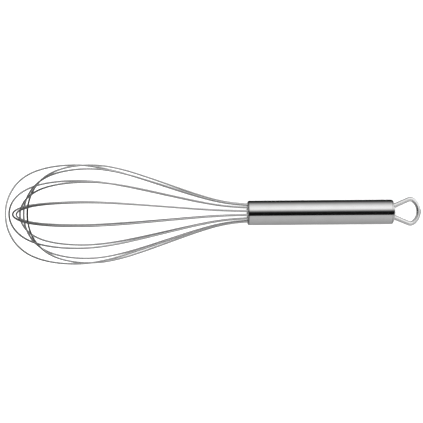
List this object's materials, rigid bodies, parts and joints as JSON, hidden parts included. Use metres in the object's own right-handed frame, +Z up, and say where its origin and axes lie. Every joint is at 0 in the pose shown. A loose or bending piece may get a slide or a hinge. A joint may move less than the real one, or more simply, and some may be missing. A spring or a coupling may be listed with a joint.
{
  "type": "balloon whisk",
  "caption": "Balloon whisk: nested springy wire loops fanned into a rounded cage, held in a round tube handle with a small wire eye to hang it by. Beats and whips by hand.",
  "frame": {"origin": "middle of the bounding box's footprint, on the surface the whisk lies on", "axes": "+X along the whisk towards the handle's hanging eye, +Z up; the whisk lies at rest on two neighbouring wires and the handle's rear edge"},
  "size_m": [0.308, 0.0754, 0.0779],
  "materials": {
    "wire_steel": "drawn stainless wire, electropolished bright",
    "handle_steel": "polished stainless tube with very fine turning marks",
    "disc_steel": "stamped, matt",
    "resin": "cast epoxy resin, hidden in the handle",
    "stopper_plastic": "moulded, hidden in the handle"
  },
  "bodies": {
    "root": {"wire_loop_1": "wire_steel", "wire_loop_2": "wire_steel", "wire_loop_3": "wire_steel", "wire_loop_4": "wire_steel", "wire_loop_5": "wire_steel", "wire_loop_6": "wire_steel", "wire_loop_7": "wire_steel", "handle_tube": "handle_steel", "rear_end_cap": "handle_steel", "hanging_loop": "wire_steel", "wire_guide_disc": "disc_steel", "resin_plug": "resin", "resin_stopper": "stopper_plastic"}
  },
  "joints": []
}
